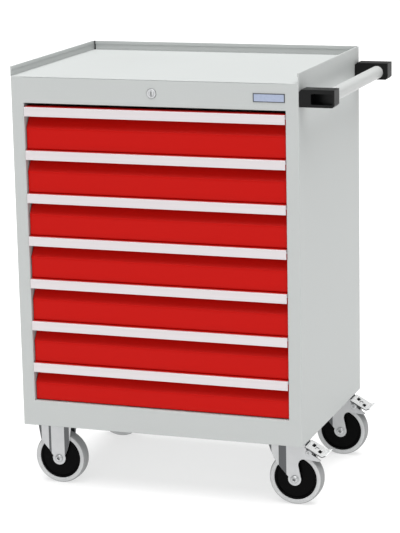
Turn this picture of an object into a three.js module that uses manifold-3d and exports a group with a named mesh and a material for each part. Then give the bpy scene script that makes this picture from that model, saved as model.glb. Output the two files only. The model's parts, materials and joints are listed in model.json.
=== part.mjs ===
// Rolling tool chest: a folded steel cabinet with seven drawers, a top tray, a push handle,
// two fixed casters on the left and two braked swivel casters on the right.
// Millimetres. While it is built, x = 0 is the middle of the cabinet, y = 0 its front plane
// (+y runs to the back) and z = 0 the ground. The last lines move the origin to the middle of
// the whole object's box, on the ground.
import * as THREE from "three";
import { mergeVertices } from "three/addons/utils/BufferGeometryUtils.js";
import Module from "manifold-3d";

const wasm = await Module();
wasm.setup();

// ---------------------------------------------------------------- driving dimensions
const GAP = 0.3; // left between pieces that touch
const SHEET = 1.5; // folded steel sheet
const SEGMENTS = 32; // round pieces on the wheels
const SMALL_SEGMENTS = 20; // pins, bolts and the lock

const BODY_WIDTH = 680;
const BODY_DEPTH = 500;
const BODY_BOTTOM = 151; // lower edge of the cabinet above the ground
const SKIRT_HEIGHT = 60;
const TOP_PANEL_HEIGHT = 61;
const RIM_HEIGHT = 22; // tray rims at the left, back and right
const HEM_HEIGHT = 8; // the sheet is folded double along a rim's top
const RIM_SLIT = 2.5; // between the back rim and a side rim's turned end
const RIM_TURN = 5; // width of that turned end
const STILE_WIDTH = 30; // front flange of a side panel
const STILE_RETURN = 22;
const REAR_FLANGE = 20;

const DRAWER_COUNT = 7;
const DRAWER_PITCH = 100;
const DRAWER_DEPTH = 450;
const DRAWER_FLOOR = 8; // heights inside one drawer's pitch
const DRAWER_WALL_TOP = 84;
const DRAWER_HALF_WIDTH = 290;
const FRONT_HALF_WIDTH = 308.5;
const FRONT_PLANE = 7; // red front, behind the cabinet's front plane
const FRONT_TOP = 93;
const RECESS_PLANE = 24; // how far back the front leans behind its grip
const RECESS_TOP = 67;
const RECESS_BOTTOM = 40;
const GRIP_PROUD = 3; // grip strip, before the cabinet's front plane
const GRIP_BOTTOM = 70;
const GRIP_TOP = 91;
const GRIP_THICKNESS = 2;
const GRIP_REAR_FLANGE = 13;
const FRONT_CLEARANCE = 2; // from a front's lower edge to the grip below it

const RAIL_CENTRE = 45; // drawer rail and its channel, inside one drawer's pitch
const RAIL_REACH = 308; // passes between the stiles
const RAIL_STEEL = 2;
const RAIL_HALF_HEIGHT = 8;
const CHANNEL_INNER = 298;
const CHANNEL_OUTER = 326;
const CHANNEL_HALF_HEIGHT = 12;
const CHANNEL_SPAN = [26, 490];
const RACK_SPAN = [30, 486];

const LOCK_HEIGHT = 941;
const LOCK_BEZEL_RADIUS = 11.4;
const LOCK_BARREL_RADIUS = 8.7;
const LOCK_PLUG_RADIUS = 6;
const LOCK_PLUG_SPAN = [-2.6, 24];
const KEY_SLOT = [1.6, 7.6]; // width and height
const LOCK_ROD_RADIUS = 4;
const CRANK_RADIUS = 10; // crank pin about the lock rod's axis
const CRANK_PIN_RADIUS = 2;
const CRANK_SPAN = [480, 483];
const LOCK_BAR_X = [-4, 20];
const LOCK_BAR_Y = [486, 488];
const HOOK_STEEL = 3;
const HOOK_ARM_FOOT = 102; // heights inside one drawer's pitch
const HOOK_TIP_FOOT = 94.5;
const HOOK_TIP_FRONT = 466;
const GUIDE_LOOPS = [436, 836]; // feet of the bar's guides on the back panel
const GUIDE_HEIGHT = 20;
const HANGER_FACE = 250; // y of the rod's hanger
const HANGER_HALF_WIDTH = 14;

const NAMEPLATE_X = [236, 309];
const NAMEPLATE_Z = [929, 948.5];
const NAMEPLATE_THICKNESS = 1;

const HANDLE_REACH = 80; // beyond the cabinet's right side
const HANDLE_BRACKET_Z = [920, 959];
const HANDLE_BRACKET_Y = [0.5, 40];
const HANDLE_TUBE_RADIUS = 15;
const HANDLE_TUBE_WALL = 2;
const HANDLE_TUBE_X = 394;
const HANDLE_TUBE_Z = 937.7;
const HANDLE_SOCKET_DEPTH = 10;
const HANDLE_WALL = 4;
const HANDLE_POCKET_X = 367; // where the solid foot ends and the pocket starts
const HANDLE_POCKET_Z = [926, 950];

const WHEEL_RADIUS = 62.5;
const TYRE_HALF_WIDTH = 16;
const HUB_RADIUS = 50.2;
const BORE_RADIUS = 6.3;
const AXLE_RADIUS = 6;
const FORK_OUTER = 22; // outer face of a fork leg, from the wheel's middle plane
const FORK_STEEL = 2.5;
const FORK_END_RADIUS = 14;
const PLATE_TOP = 160.7; // mounting face of the casters
const PLATE_THICKNESS = 2.5;
const PLATE_HALF = [52.5, 42.5];
const PLATE_HOLES = [40, 30];
const PLATE_HOLE_RADIUS = 4.5;
const CASTER_FRONT_Y = 57;
const CASTER_REAR_Y = 443;
const FIXED_CASTER_X = -269;
const SWIVEL_X = 268;
const SWIVEL_TRAIL = 42.5;
const CROWN_RADIUS = 36;
const BRAKE_PIN = [34, 65]; // x and z from the wheel's axle
const BRAKE_PIN_RADIUS = 4;

const HALF_WIDTH = BODY_WIDTH / 2;
const OPENING_HALF = HALF_WIDTH - STILE_WIDTH;
const OPENING_BOTTOM = BODY_BOTTOM + SKIRT_HEIGHT;
const OPENING_TOP = OPENING_BOTTOM + DRAWER_COUNT * DRAWER_PITCH;
const TRAY_TOP = OPENING_TOP + TOP_PANEL_HEIGHT;
const RIM_TOP = TRAY_TOP + RIM_HEIGHT;
const UNDER_TRAY = TRAY_TOP - SHEET - GAP;
const INSIDE_HALF = HALF_WIDTH - SHEET - GAP; // what fits between the side panels

// ---------------------------------------------------------------- materials
function material(color, roughness, metalness) {
  return new THREE.MeshStandardMaterial({ color, roughness, metalness });
}
const GREY_PAINT = material(0xc8cac8, 0.5, 0.1);
const RED_PAINT = material(0xc51d1b, 0.45, 0.1);
const GALVANISED = material(0xb4b6b8, 0.5, 0.8);
const ALUMINIUM = material(0xe2e4e4, 0.35, 0.9);
const BLACK_PLASTIC = material(0x191b1b, 0.45, 0);
const TUBE_PAINT = material(0xd7d9d8, 0.35, 0.1);
const ZINC = material(0xb8babc, 0.3, 0.9);
const CHROME = material(0xd8dadc, 0.15, 1);
const GREY_RUBBER = material(0xb9baba, 0.8, 0);
const BLACK_NYLON = material(0x0c0c0c, 0.3, 0);
const LABEL = material(0xc6d2e4, 0.4, 0.1);

// ---------------------------------------------------------------- shape helpers
function asSolid(geometry) {
  const plain = geometry.clone();
  plain.deleteAttribute("normal");
  plain.deleteAttribute("uv");
  const merged = mergeVertices(plain, 1e-4);
  const vertProperties = merged.getAttribute("position").array;
  const triVerts = new Uint32Array(merged.index.array);
  return new wasm.Manifold(new wasm.Mesh({ numProp: 3, vertProperties, triVerts }));
}

function asGeometry(solid) {
  const mesh = solid.getMesh();
  const geometry = new THREE.BufferGeometry();
  geometry.setAttribute("position", new THREE.BufferAttribute(mesh.vertProperties, 3));
  geometry.setIndex(new THREE.BufferAttribute(mesh.triVerts, 1));
  geometry.computeVertexNormals();
  return geometry;
}

function join(...geometries) {
  const [first, ...rest] = geometries.map(asSolid);
  return asGeometry(rest.reduce((sum, next) => sum.add(next), first));
}

function cut(geometry, ...tools) {
  return asGeometry(tools.map(asSolid).reduce((left, tool) => left.subtract(tool), asSolid(geometry)));
}

// A box from its x, y and z spans.
function block([x0, x1], [y0, y1], [z0, z1]) {
  const box = new THREE.BoxGeometry(x1 - x0, y1 - y0, z1 - z0);
  return box.translate((x0 + x1) / 2, (y0 + y1) / 2, (z0 + z1) / 2);
}

const AXIS = {
  x: new THREE.Vector3(1, 0, 0),
  y: new THREE.Vector3(0, 1, 0),
  z: new THREE.Vector3(0, 0, 1),
};
// How a flat outline is laid before it is extruded: along x it holds (y, z), along y it
// holds (x, z) and along z it holds (x, y). Along y the extrusion runs backwards.
const LAID = {
  x: new THREE.Matrix4().makeBasis(AXIS.y, AXIS.z, AXIS.x),
  y: new THREE.Matrix4().makeBasis(AXIS.x, AXIS.z, AXIS.y.clone().negate()),
  z: new THREE.Matrix4(),
};

function prism(outline, axis, [from, to]) {
  const shape = outline instanceof THREE.Shape ? outline : outlineOf(outline);
  const settings = { depth: to - from, bevelEnabled: false, curveSegments: 8 };
  const geometry = new THREE.ExtrudeGeometry(shape, settings).applyMatrix4(LAID[axis]);
  const start = axis === "y" ? to : from;
  return geometry.translate(...AXIS[axis].clone().multiplyScalar(start).toArray());
}

function outlineOf(points) {
  return new THREE.Shape(points.map(([u, v]) => new THREE.Vector2(u, v)));
}

// The section of a sheet folded along a path, with its thickness on the path's left.
function folded(path, thickness = SHEET) {
  const points = path.map(([u, v]) => new THREE.Vector2(u, v));
  const normals = points.slice(1).map((point, i) => {
    const along = point.clone().sub(points[i]).normalize();
    return new THREE.Vector2(-along.y, along.x);
  });
  const offset = points.map((point, i) => {
    const before = normals[Math.max(i - 1, 0)];
    const after = normals[Math.min(i, normals.length - 1)];
    const mitre = before.clone().add(after).divideScalar(1 + before.dot(after));
    return point.clone().addScaledVector(mitre, thickness);
  });
  return new THREE.Shape([...points, ...offset.reverse()]);
}

// A body turned about a line along y: the profile holds (radius, y), outer side going up.
function turned(profile, segments = SEGMENTS) {
  return new THREE.LatheGeometry(
    profile.map(([radius, y]) => new THREE.Vector2(radius, y)),
    segments,
  );
}

// A round bar along y, and one along z.
function roundY(radius, [y0, y1], segments = SMALL_SEGMENTS) {
  return new THREE.CylinderGeometry(radius, radius, y1 - y0, segments).translate(0, (y0 + y1) / 2, 0);
}
function roundZ(radius, [z0, z1], segments = SMALL_SEGMENTS) {
  const bar = new THREE.CylinderGeometry(radius, radius, z1 - z0, segments);
  return bar.rotateX(Math.PI / 2).translate(0, 0, (z0 + z1) / 2);
}

const chest = new THREE.Group();

function piece(name, geometry, finish, [x, y, z] = [0, 0, 0], parent = chest) {
  const mesh = new THREE.Mesh(geometry, finish);
  mesh.name = name;
  mesh.position.set(x, y, z);
  parent.add(mesh);
  return mesh;
}

// ---------------------------------------------------------------- cabinet
// Outer sheet with a front stile and its return, a rear flange, and the tray's side rim on top.
function sidePanelShape() {
  const path = [
    [OPENING_HALF, 0],
    [HALF_WIDTH, 0],
    [HALF_WIDTH, BODY_DEPTH],
    [HALF_WIDTH - REAR_FLANGE, BODY_DEPTH],
  ];
  const returnFoot = PLATE_TOP + 5;
  const rimFoot = UNDER_TRAY - SHEET;
  const inner = HALF_WIDTH - SHEET;
  return join(
    prism(folded(path), "z", [BODY_BOTTOM, returnFoot]),
    prism(folded([[OPENING_HALF, STILE_RETURN], ...path]), "z", [returnFoot, UNDER_TRAY]),
    block([inner, HALF_WIDTH], [0, BODY_DEPTH], [rimFoot, RIM_TOP]),
    block([inner - SHEET, inner], [0, BODY_DEPTH - SHEET - GAP], [RIM_TOP - HEM_HEIGHT, RIM_TOP]),
    block([HALF_WIDTH - RIM_TURN, HALF_WIDTH], [BODY_DEPTH - SHEET, BODY_DEPTH], [rimFoot, RIM_TOP]),
  );
}

function addSidePanels() {
  const shape = sidePanelShape();
  piece("right_side_panel", shape, GREY_PAINT);
  piece("left_side_panel", shape, GREY_PAINT).scale.x = -1;
}

// Back sheet inside the rear flanges, with two guide loops for the lock bar.
function addBackPanel() {
  const rear = BODY_DEPTH - SHEET - GAP;
  const front = rear - SHEET;
  const sheet = block([-INSIDE_HALF, INSIDE_HALF], [front, rear], [BODY_BOTTOM, UNDER_TRAY]);
  const clearance = 0.6;
  const wall = 2.4;
  const [barLeft, barRight] = LOCK_BAR_X;
  const [barFront, barRear] = LOCK_BAR_Y;
  const loops = GUIDE_LOOPS.map((foot) =>
    cut(
      block(
        [barLeft - clearance - wall, barRight + clearance + wall],
        [barFront - clearance - wall, front + SHEET / 2],
        [foot, foot + GUIDE_HEIGHT],
      ),
      block(
        [barLeft - clearance, barRight + clearance],
        [barFront - clearance, barRear + clearance],
        [foot - 1, foot + GUIDE_HEIGHT + 1],
      ),
    ),
  );
  piece("back_panel", join(sheet, ...loops), GREY_PAINT);
}

// Floor pan that carries the casters, with a turned-up flange at each side.
function addBasePlate() {
  const floorBottom = PLATE_TOP + GAP;
  const flangeTop = floorBottom + 30;
  const section = folded(
    [
      [-INSIDE_HALF, flangeTop],
      [-INSIDE_HALF, floorBottom],
      [INSIDE_HALF, floorBottom],
      [INSIDE_HALF, flangeTop],
    ],
    2,
  );
  const rear = BODY_DEPTH - 2 * (SHEET + GAP);
  piece("base_plate", prism(section, "y", [STILE_RETURN + 1, rear]), GREY_PAINT);
}

function addFrontRails() {
  const half = OPENING_HALF - GAP;
  const skirt = folded([
    [12, BODY_BOTTOM],
    [0, BODY_BOTTOM],
    [0, OPENING_BOTTOM],
    [20, OPENING_BOTTOM],
  ].reverse());
  piece("front_bottom_skirt", prism(skirt, "x", [-half, half]), GREY_PAINT);

  const topPanel = folded([
    [14, UNDER_TRAY],
    [0, UNDER_TRAY],
    [0, OPENING_TOP],
    [25, OPENING_TOP],
  ]);
  const lockHole = roundY(LOCK_BARREL_RADIUS + GAP, [-5, 5]).translate(0, 0, LOCK_HEIGHT);
  piece("front_top_panel", cut(prism(topPanel, "x", [-half, half]), lockHole), GREY_PAINT);
}

// Tray floor with its back rim. The side panels carry the side rims.
function addTopTray() {
  const rimHalf = HALF_WIDTH - RIM_TURN - RIM_SLIT;
  const floorBottom = TRAY_TOP - SHEET;
  const rimFront = BODY_DEPTH - SHEET;
  piece(
    "top_tray",
    join(
      block([-INSIDE_HALF, INSIDE_HALF], [0, rimFront - GAP], [floorBottom, TRAY_TOP]),
      block([-rimHalf, rimHalf], [rimFront - 2, BODY_DEPTH], [floorBottom, TRAY_TOP]),
      block([-rimHalf, rimHalf], [rimFront, BODY_DEPTH], [floorBottom, RIM_TOP]),
      block([-rimHalf, rimHalf], [rimFront - SHEET, rimFront], [RIM_TOP - HEM_HEIGHT, RIM_TOP]),
    ),
    GREY_PAINT,
  );
}

// Folded pan that carries one channel, two shelves high, for each drawer's rail.
function addRunnerRacks() {
  const [front, rear] = RACK_SPAN;
  const web = CHANNEL_OUTER - SHEET;
  const plan = folded([
    [INSIDE_HALF, rear],
    [web, rear],
    [web, front],
    [INSIDE_HALF, front],
  ]);
  const pan = prism(plan, "z", [OPENING_BOTTOM - 15, OPENING_TOP - 5]);
  const shelves = [];
  for (let row = 0; row < DRAWER_COUNT; row += 1) {
    const centre = OPENING_BOTTOM + row * DRAWER_PITCH + RAIL_CENTRE;
    const lower = centre - CHANNEL_HALF_HEIGHT;
    const upper = centre + CHANNEL_HALF_HEIGHT;
    shelves.push(
      block([CHANNEL_INNER, web + SHEET / 2], CHANNEL_SPAN, [lower, lower + SHEET]),
      block([CHANNEL_INNER, web + SHEET / 2], CHANNEL_SPAN, [upper - SHEET, upper]),
    );
  }
  const shape = join(pan, ...shelves);
  piece("runner_rack_right", shape, GALVANISED);
  piece("runner_rack_left", shape, GALVANISED).scale.x = -1;
}

// ---------------------------------------------------------------- drawers
// Open box with a T-shaped rail on each side, in the height of one pitch.
function drawerBoxShape() {
  const half = DRAWER_HALF_WIDTH;
  const front = RECESS_PLANE + SHEET + GAP;
  const rear = front + DRAWER_DEPTH;
  const shell = cut(
    block([-half, half], [front, rear], [DRAWER_FLOOR, DRAWER_WALL_TOP]),
    block(
      [-half + SHEET, half - SHEET],
      [front + SHEET, rear - SHEET],
      [DRAWER_FLOOR + SHEET, DRAWER_WALL_TOP + 1],
    ),
  );
  const railSpan = [front + 1, rear - 6];
  const webHeight = [RAIL_CENTRE - RAIL_STEEL / 2, RAIL_CENTRE + RAIL_STEEL / 2];
  const lipHeight = [RAIL_CENTRE - RAIL_HALF_HEIGHT, RAIL_CENTRE + RAIL_HALF_HEIGHT];
  const rails = [-1, 1].flatMap((side) => {
    const web = [side * (half - 1), side * (RAIL_REACH - 1)].sort((a, b) => a - b);
    const lip = [side * (RAIL_REACH - RAIL_STEEL), side * RAIL_REACH].sort((a, b) => a - b);
    return [block(web, railSpan, webHeight), block(lip, railSpan, lipHeight)];
  });
  return join(shell, ...rails);
}

// Front sheet: upright below, leaning back to a finger recess above.
function drawerFrontShape(lowerEdge) {
  const section = folded([
    [RECESS_PLANE, FRONT_TOP],
    [RECESS_PLANE, RECESS_TOP],
    [FRONT_PLANE, RECESS_BOTTOM],
    [FRONT_PLANE, lowerEdge],
    [FRONT_PLANE + 15, lowerEdge],
  ]);
  return prism(section, "x", [-FRONT_HALF_WIDTH, FRONT_HALF_WIDTH]);
}

// Grip extrusion: a face strip, a top web and a rear flange against the front sheet.
function gripShape() {
  const flangeFace = RECESS_PLANE - GAP;
  const section = folded(
    [
      [flangeFace, GRIP_TOP - GRIP_REAR_FLANGE],
      [flangeFace, GRIP_TOP],
      [-GRIP_PROUD, GRIP_TOP],
      [-GRIP_PROUD, GRIP_BOTTOM],
    ],
    GRIP_THICKNESS,
  );
  return prism(section, "x", [-FRONT_HALF_WIDTH, FRONT_HALF_WIDTH]);
}

function addDrawers() {
  const box = drawerBoxShape();
  const upperFront = drawerFrontShape(GRIP_TOP - DRAWER_PITCH + FRONT_CLEARANCE);
  const bottomFront = drawerFrontShape(SHEET);
  const grip = gripShape();
  for (let number = 1; number <= DRAWER_COUNT; number += 1) {
    const foot = [0, 0, OPENING_TOP - number * DRAWER_PITCH];
    const front = number === DRAWER_COUNT ? bottomFront : upperFront;
    piece(`drawer_${number}_box`, box, GALVANISED, foot);
    piece(`drawer_${number}_front`, front, RED_PAINT, foot);
    piece(`drawer_${number}_grip`, grip, ALUMINIUM, foot);
  }
}

// ---------------------------------------------------------------- central lock
function addLockHousing() {
  const bezelFace = -2.2;
  const bore = LOCK_PLUG_RADIUS + 0.2;
  const barrelEnd = 22;
  const nutRadius = 12;
  const housing = turned(
    [
      [bore, bezelFace],
      [LOCK_BEZEL_RADIUS - 1, bezelFace],
      [LOCK_BEZEL_RADIUS, bezelFace + 1],
      [LOCK_BEZEL_RADIUS, -GAP],
      [LOCK_BARREL_RADIUS, -GAP],
      [LOCK_BARREL_RADIUS, barrelEnd],
      [bore, barrelEnd],
      [bore, bezelFace],
    ],
    SMALL_SEGMENTS,
  );
  const nutSpan = [SHEET + GAP, SHEET + 5];
  const nut = cut(roundY(nutRadius, nutSpan, 6), roundY(LOCK_BARREL_RADIUS - 1, [0, 10]));
  piece("lock_housing", join(housing, nut), CHROME, [0, 0, LOCK_HEIGHT]);
}

function addLockPlug() {
  const [width, height] = KEY_SLOT;
  const keySlot = block([-width / 2, width / 2], [-4, 9], [-height / 2, height / 2]);
  const plug = roundY(LOCK_PLUG_RADIUS, LOCK_PLUG_SPAN);
  piece("lock_plug", cut(plug, keySlot), CHROME, [0, 0, LOCK_HEIGHT]);
}

// Rod from the plug to the back, ending in a crank whose pin lifts the lock bar.
function addLockRod() {
  const pinAt = CRANK_RADIUS * Math.SQRT1_2;
  const [crankFace, crankRear] = CRANK_SPAN;
  const rod = roundY(LOCK_ROD_RADIUS, [LOCK_PLUG_SPAN[1] + GAP, crankRear - 1], 12);
  const arm = prism(
    [
      [-5, 0],
      [0, -5],
      [pinAt + 4, pinAt - 1],
      [pinAt - 1, pinAt + 4],
    ],
    "y",
    CRANK_SPAN,
  );
  const pin = roundY(CRANK_PIN_RADIUS, [crankFace + 1, LOCK_BAR_Y[1] + 2], 10);
  piece("lock_rod", join(rod, arm, pin.translate(pinAt, 0, pinAt)), ZINC, [0, 0, LOCK_HEIGHT]);
}

// Bar behind the drawers: each hook stands clear above a rear wall, and drops behind it to lock.
function addLockBar() {
  const [left, right] = LOCK_BAR_X;
  const [front, rear] = LOCK_BAR_Y;
  const lowest = OPENING_BOTTOM + DRAWER_WALL_TOP + 7;
  const slotCentre = LOCK_HEIGHT + CRANK_RADIUS * Math.SQRT1_2;
  const slotHalf = CRANK_PIN_RADIUS + 1;
  const bar = cut(
    block([left, right], [front, rear], [lowest, UNDER_TRAY - 8]),
    block([3, 14], [front - 1, rear + 1], [slotCentre - slotHalf, slotCentre + slotHalf]),
  );
  const hooks = [];
  for (let row = 0; row < DRAWER_COUNT; row += 1) {
    const foot = OPENING_BOTTOM + row * DRAWER_PITCH;
    const tipFoot = foot + HOOK_TIP_FOOT;
    const armFoot = foot + HOOK_ARM_FOOT;
    const section = [
      [HOOK_TIP_FRONT, tipFoot],
      [HOOK_TIP_FRONT + HOOK_STEEL, tipFoot],
      [HOOK_TIP_FRONT + HOOK_STEEL, armFoot],
      [front + 1, armFoot],
      [front + 1, armFoot + HOOK_STEEL],
      [HOOK_TIP_FRONT, armFoot + HOOK_STEEL],
    ];
    hooks.push(prism(section, "x", [left + 4, right - 4]));
  }
  piece("lock_bar", join(bar, ...hooks), ZINC);
}

// Hanger under the tray that holds the lock rod half way back.
function addLockRodBracket() {
  const face = HANGER_FACE;
  const width = [-HANGER_HALF_WIDTH, HANGER_HALF_WIDTH];
  const hanger = block(width, [face, face + 2], [LOCK_HEIGHT - 10, UNDER_TRAY]);
  const flange = block(width, [face, face + 20], [UNDER_TRAY - 2, UNDER_TRAY]);
  const hole = roundY(LOCK_ROD_RADIUS + GAP, [face - 2, face + 4]).translate(0, 0, LOCK_HEIGHT);
  piece("lock_rod_bracket", cut(join(hanger, flange), hole), ZINC);
}

// Blank plate at the right of the top panel.
function addNameplate() {
  const plate = block(NAMEPLATE_X, [-GAP - NAMEPLATE_THICKNESS, -GAP], NAMEPLATE_Z);
  piece("nameplate", plate, LABEL);
}

// ---------------------------------------------------------------- push handle
// Moulded bracket with two cut corners, a pocket in its outer face and a socket for the tube.
function handleBracketShape() {
  const inner = HALF_WIDTH + GAP;
  const outer = HALF_WIDTH + HANDLE_REACH;
  const [bottom, top] = HANDLE_BRACKET_Z;
  const [outerFace, tubeFace] = HANDLE_BRACKET_Y;
  const outline = [
    [inner, bottom],
    [outer - 9, bottom],
    [outer, bottom + 5],
    [outer, top - 2],
    [outer - 2, top],
    [inner + 8, top],
    [inner, top - 5],
  ];
  const pocketFloor = tubeFace - HANDLE_SOCKET_DEPTH - HANDLE_WALL;
  const pocket = block(
    [HANDLE_POCKET_X, outer - HANDLE_WALL],
    [outerFace - 1, pocketFloor],
    HANDLE_POCKET_Z,
  );
  const socket = roundY(HANDLE_TUBE_RADIUS + GAP, [tubeFace - HANDLE_SOCKET_DEPTH, tubeFace + 1], SEGMENTS);
  return cut(
    prism(outline, "y", HANDLE_BRACKET_Y),
    pocket,
    socket.translate(HANDLE_TUBE_X, 0, HANDLE_TUBE_Z),
  );
}

function addHandle() {
  const bracket = handleBracketShape();
  piece("handle_bracket_front", bracket, BLACK_PLASTIC);
  piece("handle_bracket_rear", bracket, BLACK_PLASTIC, [0, BODY_DEPTH, 0]).scale.y = -1;

  const front = HANDLE_BRACKET_Y[1] - HANDLE_SOCKET_DEPTH + GAP;
  const rear = BODY_DEPTH - front;
  const bore = HANDLE_TUBE_RADIUS - HANDLE_TUBE_WALL;
  const tube = turned([
    [bore, front],
    [HANDLE_TUBE_RADIUS, front],
    [HANDLE_TUBE_RADIUS, rear],
    [bore, rear],
    [bore, front],
  ]);
  piece("handle_tube", tube, TUBE_PAINT, [HANDLE_TUBE_X, 0, HANDLE_TUBE_Z]);
}

// ---------------------------------------------------------------- casters
// Every caster's shapes are placed from its wheel's axle, so z = 0 here is the axle's height.
const TOP_Z = PLATE_TOP - WHEEL_RADIUS;

function tyreShape() {
  const half = TYRE_HALF_WIDTH;
  const inner = HUB_RADIUS + GAP;
  return turned([
    [inner, -half + 1],
    [WHEEL_RADIUS - 5.5, -half],
    [WHEEL_RADIUS - 1.5, -half + 2],
    [WHEEL_RADIUS, -half + 6],
    [WHEEL_RADIUS, half - 6],
    [WHEEL_RADIUS - 1.5, half - 2],
    [WHEEL_RADIUS - 5.5, half],
    [inner, half - 1],
    [inner, -half + 1],
  ]);
}

// Wheel centre: a long boss on the axle, a thin web and a wide rim under the tyre.
function hubShape() {
  const bossHalf = 19;
  const rimHalf = 14.5;
  const webHalf = 9;
  const side = [
    [BORE_RADIUS, bossHalf],
    [15, bossHalf],
    [19, webHalf],
    [44, webHalf],
    [46, rimHalf],
    [HUB_RADIUS, rimHalf],
  ];
  const lower = side.map(([radius, y]) => [radius, -y]);
  return turned([...lower, ...side.reverse(), lower[0]]);
}

// Hexagon bolt with its nut.
function axleShape() {
  const hexRadius = 10.9;
  const seat = FORK_OUTER + GAP;
  return join(
    roundY(AXLE_RADIUS, [-seat - 1, seat + 8]),
    roundY(hexRadius, [-seat - 6, -seat], 6),
    roundY(hexRadius, [seat, seat + 6], 6),
  );
}

function plateWithHoles(centreX) {
  const [halfX, halfY] = PLATE_HALF;
  const span = [TOP_Z - PLATE_THICKNESS, TOP_Z];
  const holes = [-1, 1].flatMap((sx) =>
    [-1, 1].map((sy) =>
      roundZ(PLATE_HOLE_RADIUS, [span[0] - 1, span[1] + 1], 12).translate(
        centreX + sx * PLATE_HOLES[0],
        sy * PLATE_HOLES[1],
        0,
      ),
    ),
  );
  return cut(block([centreX - halfX, centreX + halfX], [-halfY, halfY], span), ...holes);
}

function axleHole() {
  return new THREE.Path().absarc(0, 0, BORE_RADIUS, 0, 2 * Math.PI);
}

function bothLegs(outline) {
  const inner = FORK_OUTER - FORK_STEEL;
  return [prism(outline, "y", [-FORK_OUTER, -inner]), prism(outline, "y", [inner, FORK_OUTER])];
}

// Fixed fork: a plate with two legs that taper to a round end at the axle.
function fixedForkShape() {
  const legTop = TOP_Z - PLATE_THICKNESS / 2;
  const legHalf = 44;
  const kneeHalf = 38;
  const kneeHeight = 39;
  const endAngle = 0.25;
  const leg = new THREE.Shape();
  leg.moveTo(-legHalf, legTop);
  leg.lineTo(-kneeHalf, kneeHeight);
  leg.absarc(0, 0, FORK_END_RADIUS, Math.PI - endAngle, endAngle, false);
  leg.lineTo(kneeHalf, kneeHeight);
  leg.lineTo(legHalf, legTop);
  leg.holes.push(axleHole());
  return join(plateWithHoles(0), ...bothLegs(leg));
}

const RACE_TOP = TOP_Z - PLATE_THICKNESS;
const RACE_BOTTOM = RACE_TOP - 4.2;
const CROWN_TOP = RACE_BOTTOM - GAP;
const WEB_TOP = CROWN_TOP - 4.2;
const WEB_BOTTOM = WEB_TOP - 2.8;

// Top plate of a swivel caster, with the upper race and the king pin riveted under the fork.
function swivelPlateShape() {
  const race = roundZ(CROWN_RADIUS - 2, [RACE_BOTTOM, RACE_TOP + 0.2], SEGMENTS);
  const kingPin = roundZ(6, [WEB_BOTTOM - 3, RACE_TOP]);
  const pinHead = roundZ(10, [WEB_BOTTOM - GAP - 3.4, WEB_BOTTOM - GAP]);
  const centred = [race, kingPin, pinHead].map((shape) => shape.translate(-SWIVEL_TRAIL, 0, 0));
  return join(plateWithHoles(-SWIVEL_TRAIL), ...centred);
}

// Swivelling fork: a round crown, a web between two trailing legs, and a pin for the brake pedal.
function swivelForkShape() {
  const shoulder = [
    [24, WEB_TOP],
    [28, 73],
    [63, 53],
    [63, 49],
    [56, 46],
    [20, 49],
    [13, 46],
    [8.5, 38],
  ];
  const leg = new THREE.Shape();
  leg.moveTo(-62, WEB_TOP);
  leg.lineTo(-49, 46);
  leg.lineTo(-40, 31);
  leg.absarc(0, 0, FORK_END_RADIUS, Math.PI - 0.35, 0.1, false);
  [...shoulder].reverse().forEach(([x, z]) => leg.lineTo(x, z));
  leg.holes.push(axleHole());
  const crown = roundZ(CROWN_RADIUS, [WEB_TOP - 0.2, CROWN_TOP], SEGMENTS);
  const web = block([-62, 24], [-FORK_OUTER + 1, FORK_OUTER - 1], [WEB_BOTTOM, WEB_TOP]);
  const kingPinHole = roundZ(6.4, [WEB_BOTTOM - 1, CROWN_TOP + 1]);
  const [pinX, pinZ] = BRAKE_PIN;
  const brakePin = roundY(BRAKE_PIN_RADIUS, [-FORK_OUTER, FORK_OUTER]).translate(pinX, 0, pinZ);
  return cut(
    join(crown.translate(-SWIVEL_TRAIL, 0, 0), web, brakePin, ...bothLegs(leg)),
    kingPinHole.translate(-SWIVEL_TRAIL, 0, 0),
  );
}

// Brake pedal: a sloping tread with a turned-up lip, two ears on the pin and a shoe over the tyre.
function brakePedalShape() {
  const steel = 2.5;
  const [pinX, pinZ] = BRAKE_PIN;
  const tread = folded(
    [
      [75.5, 61],
      [66, 57.5],
      [34, 75.5],
    ],
    steel,
  );
  const neck = folded(
    [
      [42, 71],
      [34, 75.5],
      [26, 79],
    ],
    steel,
  );
  const ear = new THREE.Shape();
  ear.absarc(pinX, pinZ, 7, Math.PI, 2 * Math.PI, false);
  ear.lineTo(pinX + 7, pinZ + 5);
  ear.lineTo(pinX - 7, pinZ + 12);
  ear.holes.push(new THREE.Path().absarc(pinX, pinZ, BRAKE_PIN_RADIUS + GAP, 0, 2 * Math.PI));
  const shoe = [
    [44, 68.5],
    [52, 64],
    [45.3, 44.5],
    [41.5, 48.2],
  ];
  return join(
    prism(tread, "y", [-28, 28]),
    prism(neck, "y", [-19, 19]),
    prism(ear, "y", [-19, -16.5]),
    prism(ear, "y", [16.5, 19]),
    prism(shoe, "y", [-12, 12]),
  );
}

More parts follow.
